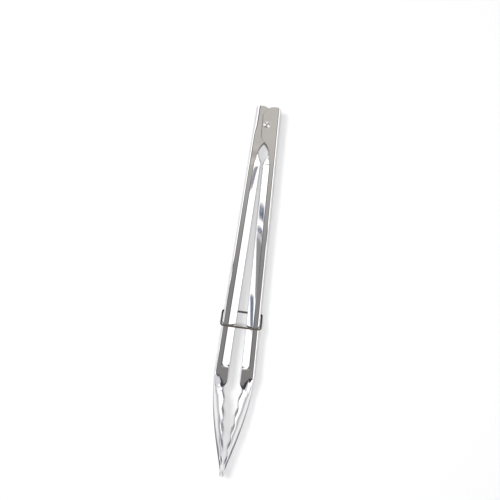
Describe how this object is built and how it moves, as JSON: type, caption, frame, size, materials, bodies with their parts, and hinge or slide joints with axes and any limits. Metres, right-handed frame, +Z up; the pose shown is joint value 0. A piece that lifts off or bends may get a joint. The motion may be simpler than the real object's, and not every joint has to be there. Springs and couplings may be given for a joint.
{
  "type": "spring loaded kitchen tongs",
  "caption": "Closed stainless steel kitchen tongs with scalloped dished heads, channel arms on a riveted hinge with a hidden spring, and a sliding wire lock ring.",
  "frame": {"origin": "under the middle of the closed tongs lying on their side, at the height of the heads' lowest points", "axes": "+X across the tongs, the way they open; +Y along them, towards the hinge end; +Z up, along the hinge pin"},
  "size_m": [0.0342, 0.305, 0.0375],
  "materials": {
    "arm_steel": "mirror polished stainless sheet",
    "pin_steel": "staked rivet, satin",
    "spring_steel": "drawn spring wire",
    "ring_steel": "polished drawn wire"
  },
  "bodies": {
    "left_side": {"left_arm": "arm_steel", "pivot_pin": "pin_steel", "torsion_spring": "spring_steel"},
    "right_side": {"right_arm": "arm_steel"},
    "ring": {"lock_ring": "ring_steel"}
  },
  "joints": [
    {"name": "right_arm_opening", "type": "hinge", "parent": "left_side", "child": "right_side", "pos_m": [0, 0.1374, 0.01875], "axis": [0, 0, 1], "range_deg": [0, 30], "deforming": ["torsion_spring"]},
    {"name": "lock_ring_slide", "type": "slide", "parent": "left_side", "child": "ring", "axis": [0, 1, 0], "range_m": [0, 0.16]}
  ]
}
